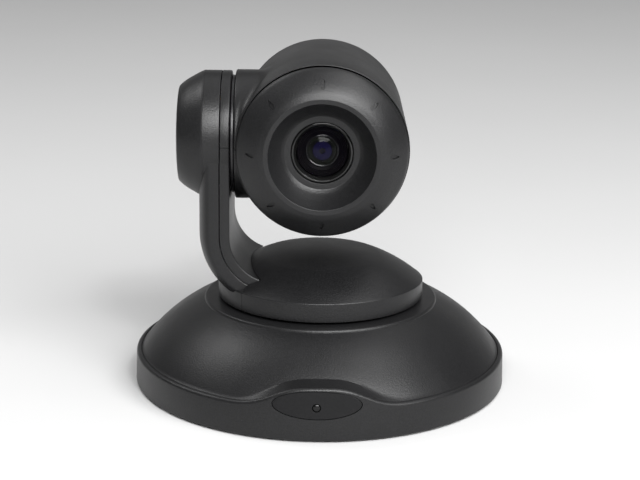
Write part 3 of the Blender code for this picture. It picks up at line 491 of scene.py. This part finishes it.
def barrel_ring(outer_x, seam_x):
    profile = fillet([(BARREL_RADIUS, outer_x), (BARREL_RADIUS, seam_x, 0.25), (BARREL_BORE, seam_x),
                      (BARREL_BORE, outer_x)])
    return revolve("barrel_ring", profile, "X", HEAD, 180)


def arm_shell_section():
    inside = ARM_HALF_WIDTH - ARM_WALL
    middle_rho, wall_rho = RHO_OUTER - CORNER_DEPTH, RHO_OUTER - ARM_WALL
    seam = [(RHO_SEAM + 0.3, ARM_HALF_WIDTH), (RHO_SEAM, ARM_HALF_WIDTH - 0.25)]
    outside = [(rho, -y) for rho, y in seam[::-1]] + outer_corner(-1) + outer_corner(1)[::-1] + seam
    return outside + [(RHO_SEAM, inside), (middle_rho, inside), (wall_rho, inside - 9),
                      (wall_rho, 9 - inside), (middle_rho, -inside), (RHO_SEAM, -inside)]


def foot_rim():
    """The arm's part of the turntable's rim."""
    top = RIM_TOP - 0.4
    profile = fillet([(RIM_RADIUS, top, 0.7), (FOOT_INNER_RADIUS, top), (FOOT_INNER_RADIUS, FOOT_STEP_Z),
                      (FOOT_STEP_RADIUS, FOOT_STEP_Z), (FOOT_STEP_RADIUS, RIM_BOTTOM),
                      (RIM_RADIUS, RIM_BOTTOM, 0.4)], 5)
    return carve(revolve("foot_rim", profile, steps=240), "INTERSECT", foot_tool(GAP))


def cap_space():
    """The space in the barrel's outer end that the end cap fills."""
    seat = CAP_SEAT_X
    cone = [(0, seat), (BARREL_RADIUS + 0.1, seat)] + [(r + 0.15, x) for r, x in CAP_SPACE_SIDE]
    cone += [(25.5, CAP_SPACE_END_X), (0, CAP_SPACE_END_X)]
    return revolve("cap_space", cone, "X", HEAD, 180)


def make_arm_shell():
    shell = sweep("arm_shell", arm_shell_section(), arm_stations(SHELL_TOP_Z, SHELL_ANGLE))
    rim = foot_rim()
    carve(shell, "UNION", barrel_ring(BARREL_OUTER_X, BARREL_SEAM_X - 0.2), rim)
    slot = block("frame_slot", *FRAME_SLOT)
    carve(shell, "DIFFERENCE", cap_space(), slot)
    return adopt(shell, "turntable", "shell", SHELL, "arm_outer_shell")


def inner_housing(name):
    """The disc-shaped inner side of the barrel, with a hole for the tilt shaft."""
    face, seam, hole = BARREL_INNER_X - 0.05, BARREL_SEAM_X + 0.2, SHAFT_HOLE_RADIUS
    profile = fillet([(hole, face), (BARREL_RADIUS, face, 0.7), (BARREL_RADIUS, seam, 0.25),
                      (BARREL_BORE, seam), (BARREL_BORE, face - ARM_WALL), (hole, face - ARM_WALL)])
    return revolve(name, profile, "X", HEAD, 180)


def half_space(sign, gap=0.15):
    near, far = sign * gap, sign * 90
    return block("half_space", (-90, -90, min(near, far)), (90, 90, max(near, far)), HEAD)


def make_arm_inner():
    """The panel along the arm's inner side, with the lower housing half, and the upper half as a cap."""
    inside, rho = ARM_HALF_WIDTH - ARM_WALL, RHO_SEAM - GAP
    section = fillet([
        (rho, -ARM_HALF_WIDTH, 0.25), (RHO_INNER, -ARM_HALF_WIDTH, 0.7), (RHO_INNER, ARM_HALF_WIDTH, 0.7),
        (rho, ARM_HALF_WIDTH, 0.25), (rho, inside), (RHO_INNER + ARM_WALL, inside),
        (RHO_INNER + ARM_WALL, -inside), (rho, -inside),
    ])
    panel = sweep("arm_inner_panel", section, arm_stations(SHELL_TOP_Z, PANEL_ANGLE))
    housing = carve(inner_housing("lower_housing"), "INTERSECT", half_space(-1))
    carve(panel, "UNION", housing)
    carve(panel, "DIFFERENCE", rod("shaft_hole", SHAFT_HOLE_RADIUS, -55, -40, "X", HEAD))
    adopt(panel, "turntable", "shell", SHELL, "arm_inner_cover")
    cap = carve(inner_housing("arm_upper_cap"), "INTERSECT", half_space(1))
    adopt(cap, "turntable", "shell", SHELL, "arm_inner_cap")


def make_end_cap():
    side = spline(CAP_SIDE, 6)
    end = fillet([side[-1], (23.9, -72.0, 2.0), (18.8, -72.55, 3.0), (0.0, -72.85)], 8)[1:-1]
    cap = revolve("tilt_cap", list(CAP_INSIDE) + side + end + [(0, -72.9)], "X", HEAD, 180)
    return adopt(cap, "turntable", "shell", SHELL, "tilt_end_cap")


def make_neck():
    ring = revolve("neck_seal", fillet(NECK_SEAL_OUTLINE), "X", HEAD, 160)
    return adopt(ring, "turntable", "dark_trim", TRIM, "neck_ring")


# ---------------------------------------------------------------- head


def make_drum():
    """The whole hollow drum, before it is parted."""
    split, end_face = (20.0, DRUM_END_FACE_Y), (37.8, DRUM_END_FACE_Y, 1.5)
    outer = fillet([(DRUM_BORE, DRUM_FRONT_Y), (DRUM_FRONT_RADIUS, DRUM_FRONT_Y, 0.35),
                    (DRUM_REAR_RADIUS, DRUM_REAR_Y, 4.2), (split[0], DRUM_REAR_Y), split, end_face,
                    (DRUM_BORE, DRUM_BORE_END_Y)], 9)
    start = outer.index(split)
    profile = [(0, DRUM_END_FACE_Y)] + outer[start + 1 :] + outer[:start] + [(0, DRUM_REAR_Y)]
    return revolve("drum", profile, "Y", HEAD, 200)


def drum_hollow():
    """The inside of the drum, flared at the front so that the shells end in a thin lip."""
    return revolve("drum_hollow", DRUM_INSIDE, "Y", HEAD, 200)


def drum_side(z):
    """x of the drum's side at a height above the axis, near its middle."""
    return -sqrt(DRUM_SIDE_RADIUS**2 - z**2)


def make_boss():
    """The round neck on the drum's side, flared where it meets the drum."""
    angles = [2 * pi * i / 180 for i in range(180)]
    face = [(BOSS_BORE, BOSS_FACE_X), (BOSS_RADIUS - 0.8, BOSS_FACE_X),
            (BOSS_RADIUS - 0.25, BOSS_FACE_X + 0.25), (BOSS_RADIUS, BOSS_FACE_X + 0.8)]
    sections = [face + flare_curve(angle) for angle in angles]
    return new_object("boss", skin(rows_round("X", sections, angles)), HEAD)


def flare_curve(angle):
    """Radius and x along the flare, from the straight neck onto the drum and a little way into it."""
    side = drum_side(BOSS_RADIUS * cos(angle))
    room = side - (BOSS_FACE_X + 0.8)
    reach = min(4.0, 0.85 * max(room, 0.4))
    start_x = side - reach
    out = BOSS_RADIUS + 0.75 * reach
    end_x = drum_side(min(out, 41.8) * cos(angle)) + 0.12
    curve = [(bend(BOSS_RADIUS, BOSS_RADIUS, out, step / 8), bend(start_x, side, end_x, step / 8))
             for step in range(9)]
    return curve + [(BOSS_RADIUS - 4, side + 6), (BOSS_BORE, side + 6)]


def make_head_shells():
    for name, node, sign in (("head_top", "head_upper_shell", 1), ("head_bottom", "head_lower_shell", -1)):
        shell = make_drum()
        shell.name = name
        carve(shell, "UNION", make_boss())
        neck_hollow = rod("neck_hollow", NECK_HOLLOW_RADIUS, -41.3, -15, "X", HEAD, 120)
        shaft_hole = rod("shaft_hole", HEAD_SHAFT_HOLE_RADIUS, -50, -40, "X", HEAD)
        carve(shell, "DIFFERENCE", drum_hollow(), neck_hollow, shaft_hole)
        carve(shell, "INTERSECT", half_space(sign))
        adopt(shell, "head", "shell", SHELL, node)


def make_bezel():
    face = spline(BEZEL_FACE, 7)
    lip = fillet([face[-2], (28.55, -50.0, 0.12), (26.35, -49.8, 0.35), (24.6, -47.5)], 4)[1:-1]
    well = spline(BEZEL_WELL, 6)
    flat = fillet([well[-1], (18.2, -39.9, 0.3), (15.4, -39.9, 0.2), (15.4, -37.7), (18.6, -37.7)], 3)[1:-1]
    outer = fillet([(37.2, -31.0), (40.0, -31.0, 0.3), (40.0, -38.1), (42.1, -38.1, 0.3),
                    (42.1, -39.1)], 4)
    profile = outer[1:-1] + face + lip + well + flat + list(BEZEL_BACK)
    bezel = revolve("lens_bezel", profile, "Y", HEAD, 240)
    carve(bezel, "DIFFERENCE", *[tick_tool(360 / TICK_COUNT * i) for i in range(TICK_COUNT)])
    return adopt(bezel, "head", "shell", SHELL, "front_bezel")


def tick_tool(angle):
    """A drop-shaped mark across the bezel's face: its narrow end is outward."""
    outline = []
    for i in range(20):
        turn = 2 * pi * i / 20
        along = cos(turn)
        width = 1.00 - 0.45 * along
        outline.append((width * sin(turn) + 0.3 * along, TICK_HALF_LENGTH * along))
    rows = [[(x, depth, y) for x, y in outline] for depth in (-2.5, 0.0)]
    tool = new_object("tick", skin(rows, closed_loop=False))
    lean = radians(TICK_LEAN)
    bottom = Vector((0, TICK_MIDDLE[1] + TICK_DEPTH * cos(lean), TICK_MIDDLE[0] - TICK_DEPTH * sin(lean)))
    onto_face = Matrix.Translation(bottom * MM) @ Matrix.Rotation(-lean, 4, "X")
    onto_axis = Matrix.Translation(Vector((0, 0, TILT_Z + LIFT)) * MM)
    round_axis = onto_axis @ Matrix.Rotation(radians(angle), 4, "Y")
    tool.data.transform(Matrix.Translation((0, 0, -LIFT * MM)))
    tool.data.transform(round_axis @ onto_face)
    return tool


def bulge(front, curvature, radii):
    """The front of a lens element, as (radius, y) from its middle outwards."""
    return [(r, front + curvature * r * r) for r in radii]


def lens_piece(name, profile, slot, material, *nodes, steps=128):
    adopt(revolve(name, profile, "Y", HEAD, steps), "head", slot, material, *nodes)


def make_lens():
    """Lens barrel, front glass and the elements that show through it.

    Nothing here reaches behind the place where the zoom group's travel ends.
    """
    glass = bulge(GLASS_FRONT_Y, GLASS_CURVATURE, range(13)) + [(12.4, -36.9), (12.4, -36.4)]
    glass += [(12.2, GLASS_BACK_Y)] + [(r, GLASS_BACK_Y) for r in (10, 8, 6, 4, 2, 0)]
    second = bulge(SECOND_FRONT_Y, SECOND_CURVATURE, [0.7 * i for i in range(11)])
    second += [SECOND_EDGE, (SECOND_EDGE[0], SECOND_BACK_Y), (0, SECOND_BACK_Y)]
    lens_piece("lens_ring", fillet(RING_OUTLINE, 4), "dark_trim", BARREL, "lens_retainer", steps=160)
    lens_piece("front_glass", glass, "lens_glass", GLASS, "front_lens")
    lens_piece("inner_baffle", BAFFLE_OUTLINE, "dark_trim", BAFFLE)
    lens_piece("inner_clamp_ring", CLAMP_OUTLINE, "dark_trim", BARREL)
    lens_piece("second_element", second, "lens_glass", COATED_PAINTED_REFLECTIONS)


# ---------------------------------------------------------------- materials


class Look:
    """A Principled material with helpers for the nodes that vary over the surface."""

    def __init__(self, name, colour, roughness, metallic=0.0, **sockets):
        self.material = bpy.data.materials.new(name)
        self.material.use_nodes = True
        self.tree = self.material.node_tree
        self.shader = self.tree.nodes["Principled BSDF"]
        self.shader.inputs["Base Color"].default_value = (*colour, 1.0)
        self.shader.inputs["Roughness"].default_value = roughness
        self.shader.inputs["Metallic"].default_value = metallic
        for socket, value in sockets.items():
            self.shader.inputs[socket.replace("_", " ")].default_value = value
        self.place = self.tree.nodes.new("ShaderNodeTexCoord").outputs["Object"]

    def node(self, kind, **settings):
        made = self.tree.nodes.new(kind)
        for key, value in settings.items():
            setattr(made, key, value)
        return made

    def link(self, source, target):
        self.tree.links.new(source, target)

    def noise(self, scale, detail=2.0, stretch=None):
        made = self.node("ShaderNodeTexNoise")
        made.inputs["Scale"].default_value = scale
        made.inputs["Detail"].default_value = detail
        source = self.place
        if stretch:
            mapping = self.node("ShaderNodeMapping")
            mapping.inputs["Scale"].default_value = stretch
            self.link(source, mapping.inputs["Vector"])
            source = mapping.outputs["Vector"]
        self.link(source, made.inputs["Vector"])
        return made.outputs["Fac"]

    def ramp(self, value, low, high, start=0.0, end=1.0):
        """Maps a value from start..end to low..high."""
        made = self.node("ShaderNodeMapRange")
        made.inputs["From Min"].default_value = start
        made.inputs["From Max"].default_value = end
        made.inputs["To Min"].default_value = low
        made.inputs["To Max"].default_value = high
        self.link(value, made.inputs["Value"])
        return made.outputs["Result"]

    def mix(self, value, first, second):
        made = self.node("ShaderNodeMix", data_type="RGBA")
        made.inputs["A"].default_value = (*first, 1.0)
        made.inputs["B"].default_value = (*second, 1.0)
        self.link(value, made.inputs["Factor"])
        return made.outputs["Result"]

    def colour(self, source):
        self.link(source, self.shader.inputs["Base Color"])

    def roughness(self, source):
        self.link(source, self.shader.inputs["Roughness"])

    def bump(self, height, strength, distance):
        made = self.node("ShaderNodeBump")
        made.inputs["Strength"].default_value = strength
        made.inputs["Distance"].default_value = distance
        self.link(height, made.inputs["Height"])
        self.link(made.outputs["Normal"], self.shader.inputs["Normal"])


def grained_plastic(name, dark, light, roughness, grain=1300.0, strength=0.4, **sockets):
    """Moulded plastic with a fine spark-eroded grain."""
    look = Look(name, light, roughness, **sockets)
    fine, broad = look.noise(grain, 3.0), look.noise(45.0)
    speck = look.ramp(fine, 0.0, 1.0, 0.35, 0.65)
    look.colour(look.mix(speck, dark, light))
    look.roughness(look.ramp(broad, roughness - 0.03, roughness + 0.03, 0.3, 0.7))
    look.bump(fine, strength, 0.00024)
    return look.material


def metal(name, colour, roughness, stretch=(1.0, 1.0, 12.0), scale=400.0):
    """Drawn or turned metal with faint streaks along one direction."""
    look = Look(name, colour, roughness, 1.0)
    streaks = look.noise(scale, 3.0, stretch)
    darker = tuple(0.82 * c for c in colour)
    look.colour(look.mix(streaks, darker, colour))
    look.roughness(look.ramp(streaks, roughness - 0.06, roughness + 0.08, 0.3, 0.7))
    look.bump(streaks, 0.08, 0.0001)
    return look.material


def circuit_board(name):
    """Green solder mask over copper tracks."""
    look = Look(name, (0.01, 0.09, 0.04), 0.35)
    tracks = look.node("ShaderNodeTexBrick", offset=0.5)
    tracks.inputs["Scale"].default_value = 220.0
    tracks.inputs["Mortar Size"].default_value = 0.03
    look.link(look.place, tracks.inputs["Vector"])
    look.colour(look.mix(tracks.outputs["Fac"], (0.008, 0.075, 0.035), (0.02, 0.16, 0.07)))
    look.roughness(look.ramp(look.noise(900.0), 0.28, 0.42))
    look.bump(tracks.outputs["Fac"], 0.2, 0.00005)
    return look.material


def painted_reflection_glass(name, stops):
    """A lens element with painted reflections: the coating's coloured reflections of the lights are painted into
    its colour as rings, from its middle outwards.

    Each stop is (radius in mm, colour).
    """
    look = Look(name, stops[0][1], 0.07, Specular_IOR_Level=0.12)
    centre = look.node("ShaderNodeVectorMath", operation="SUBTRACT")
    centre.inputs[1].default_value = (0, 0, (TILT_Z + LIFT) * MM)
    look.link(look.place, centre.inputs[0])
    flat = look.node("ShaderNodeVectorMath", operation="MULTIPLY")
    flat.inputs[1].default_value = (1, 0, 1)
    look.link(centre.outputs["Vector"], flat.inputs[0])
    length = look.node("ShaderNodeVectorMath", operation="LENGTH")
    look.link(flat.outputs["Vector"], length.inputs[0])
    reach = stops[-1][0]
    # painted reflections: the coating's reflections are painted as coloured rings by radius
    band = look.node("ShaderNodeValToRGB")
    look.link(look.ramp(length.outputs["Value"], 0.0, 1.0, 0.0, reach * MM), band.inputs["Fac"])
    elements = band.color_ramp.elements
    while len(elements) < len(stops):
        elements.new(0.5)
    for element, (radius, colour) in zip(elements, stops):
        element.position = radius / reach
        element.color = (*colour, 1.0)
    look.colour(band.outputs["Color"])
    return look.material


def clear_glass(name):
    """A thin pane with an antireflection coating: it lets nearly all light straight through."""
    look = Look(name, (0.003, 0.002, 0.006), 0.3, Alpha=0.06, Specular_IOR_Level=0.0)
    look.roughness(look.ramp(look.noise(60.0), 0.29, 0.31))
    return look.material


SHELL = grained_plastic("charcoal_plastic", (0.006, 0.006, 0.0063), (0.010, 0.010, 0.0106), 0.38,
                        Specular_IOR_Level=0.34)
TRIM = grained_plastic("black_plastic", (0.009, 0.009, 0.010), (0.014, 0.014, 0.015), 0.35,
                       grain=1500.0, strength=0.1)
WINDOW = grained_plastic("infrared_plastic", (0.006, 0.006, 0.0064), (0.008, 0.008, 0.0085), 0.40,
                         grain=900.0, strength=0.05, Specular_IOR_Level=0.2)
LAMP = grained_plastic("lamp_plastic", (0.004, 0.004, 0.004), (0.006, 0.006, 0.006), 0.2,
                       grain=900.0, strength=0.02, Specular_IOR_Level=0.3)
BARREL = grained_plastic("barrel_black", (0.003, 0.003, 0.003), (0.005, 0.005, 0.005), 0.14,
                         grain=700.0, strength=0.0, Specular_IOR_Level=0.45)
BAFFLE = grained_plastic("baffle_black", (0.0005, 0.0003, 0.0005), (0.0006, 0.0004, 0.0006), 0.45,
                         grain=700.0, strength=0.0, Specular_IOR_Level=0.05)
RUBBER = grained_plastic("black_rubber", (0.014, 0.014, 0.014), (0.022, 0.022, 0.022), 0.8,
                         grain=1200.0, strength=0.5)
GEAR = grained_plastic("natural_acetal", (0.70, 0.69, 0.64), (0.78, 0.77, 0.72), 0.45,
                       grain=500.0, strength=0.08)
STEEL = metal("plain_steel", (0.56, 0.56, 0.57), 0.32)
ZINC = metal("zinc_plate", (0.62, 0.63, 0.66), 0.42, stretch=(1.0, 1.0, 1.0), scale=260.0)
BRASS = metal("turned_brass", (0.72, 0.52, 0.22), 0.28)
ALUMINIUM = metal("cast_aluminium", (0.66, 0.67, 0.69), 0.45, stretch=(1.0, 1.0, 1.0), scale=700.0)
BOARD = circuit_board("circuit_board")
GLASS = clear_glass("front_glass")
# painted reflections: the blue-violet ring (2.4-4.4 mm) and pale green ring (5.7-6.8 mm) stand in for reflections
# in the coating; the dark middle is the glass's own colour
COATED_PAINTED_REFLECTIONS = painted_reflection_glass("coated_element_painted_reflections", (
    (0.0, (0.0003, 0.0003, 0.0006)), (0.9, (0.0004, 0.0004, 0.0012)), (2.4, (0.0036, 0.0032, 0.0170)),
    (4.4, (0.0028, 0.0024, 0.0120)), (5.0, (0.0006, 0.0006, 0.0008)), (5.7, (0.0030, 0.0038, 0.0022)),
    (6.8, (0.0036, 0.0044, 0.0026)), (7.3, (0.0004, 0.0004, 0.0006))))

# the CAD lens glass gets the lens element's painted reflections too
CAD_LOOKS = {
    "shell": SHELL, "dark_trim": TRIM, "ir_window": WINDOW, "rubber": RUBBER, "steel": STEEL,
    "zinc_plate": ZINC, "brass": BRASS, "aluminium": ALUMINIUM, "circuit_board": BOARD,
    "gear_plastic": GEAR, "lens_glass": COATED_PAINTED_REFLECTIONS,
}


def adopt(obj, body, slot, material, *nodes):
    """Gives a piece its material, lets it ride on a body, and lets it stand for CAD nodes."""
    obj.data.materials.clear()
    obj.data.materials.append(material)
    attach(obj, body)
    if nodes:
        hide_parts(*nodes)
    return obj


def paint_cad_nodes():
    """Gives each CAD node the look of its slot."""
    for subpart in frame["record"]["subparts"]:
        node = frame["nodes"][subpart["node"]]
        for place in node.material_slots:
            place.material = CAD_LOOKS[subpart["material_slot"]]
        smooth(node)


# ---------------------------------------------------------------- stage

CAMERA_PLACE = (-0.57, -983.7, 357.3)
CAMERA_PITCH, CAMERA_ROLL = 16.09, 0.7
CAMERA_LENS = 112.5
AIM = Vector((0.0, 0.0, 0.08))
WORLD_STRENGTH = 0.12
FLOOR_HALF_SIZE = 12.0
LIGHTS = (  # name, azimuth, elevation, distance, width, height, radiance
    ("key", 22, 38, 1.6, 1.9, 1.0, 10.5),
    ("spark", 18, 45, 1.5, 0.16, 0.12, 75.0),
    ("left", -112, 48, 1.6, 0.6, 0.6, 5.0),
    ("right", 81, 66, 1.6, 0.6, 0.6, 3.7),
    ("backdrop", 180, 10, 2.6, 4.5, 0.5, 0.4),
    ("ceiling", 180, 68, 2.4, 3.0, 2.0, 0.6),
)


def make_camera():
    data = bpy.data.cameras.new("camera")
    data.lens = CAMERA_LENS
    data.sensor_width = 36.0
    data.clip_start, data.clip_end = 0.01, 50.0
    camera = bpy.data.objects.new("camera", data)
    camera.location = Vector(CAMERA_PLACE) * MM
    tilt = Euler((radians(90 - CAMERA_PITCH), 0, 0)).to_matrix()
    camera.rotation_euler = (tilt @ Matrix.Rotation(radians(CAMERA_ROLL), 3, "Z")).to_euler()
    bpy.context.scene.collection.objects.link(camera)
    bpy.context.scene.camera = camera


def softbox(name, azimuth, elevation, distance, width, height, radiance):
    """A soft light aimed at the middle of the object. Azimuth 0 is in front and turns towards +X."""
    azimuth, elevation = radians(azimuth), radians(elevation)
    way = Vector((sin(azimuth) * cos(elevation), -cos(azimuth) * cos(elevation), sin(elevation)))
    data = bpy.data.lights.new(name, "AREA")
    data.shape = "RECTANGLE"
    data.size, data.size_y = width, height
    data.energy = radiance * pi * width * height
    light = bpy.data.objects.new(name, data)
    light.location = AIM + distance * way
    light.rotation_euler = (-way).to_track_quat("-Z", "Y").to_euler()
    bpy.context.scene.collection.objects.link(light)


def make_floor():
    bm = bmesh.new()
    bmesh.ops.create_grid(bm, x_segments=1, y_segments=1, size=FLOOR_HALF_SIZE)
    mesh = bpy.data.meshes.new("floor")
    bm.to_mesh(mesh)
    bm.free()
    floor = bpy.data.objects.new("floor", mesh)
    bpy.context.scene.collection.objects.link(floor)
    look = Look("pale_floor", (0.54, 0.54, 0.54), 0.9)
    look.colour(look.mix(look.noise(6.0), (0.53, 0.53, 0.53), (0.55, 0.55, 0.55)))
    mesh.materials.append(look.material)


def make_world():
    world = bpy.data.worlds.new("studio")
    bpy.context.scene.world = world
    world.use_nodes = True
    background = world.node_tree.nodes["Background"]
    background.inputs["Color"].default_value = (1, 1, 1, 1)
    background.inputs["Strength"].default_value = WORLD_STRENGTH


def make_stage():
    bpy.context.scene.view_settings.view_transform = "Standard"
    make_camera()
    make_floor()
    make_world()
    for light in LIGHTS:
        softbox(*light)


paint_cad_nodes()
make_band()
make_dome()
make_window()
make_turntable_cover()
make_arm_shell()
make_arm_inner()
make_end_cap()
make_neck()
make_head_shells()
make_bezel()
make_lens()
make_stage()
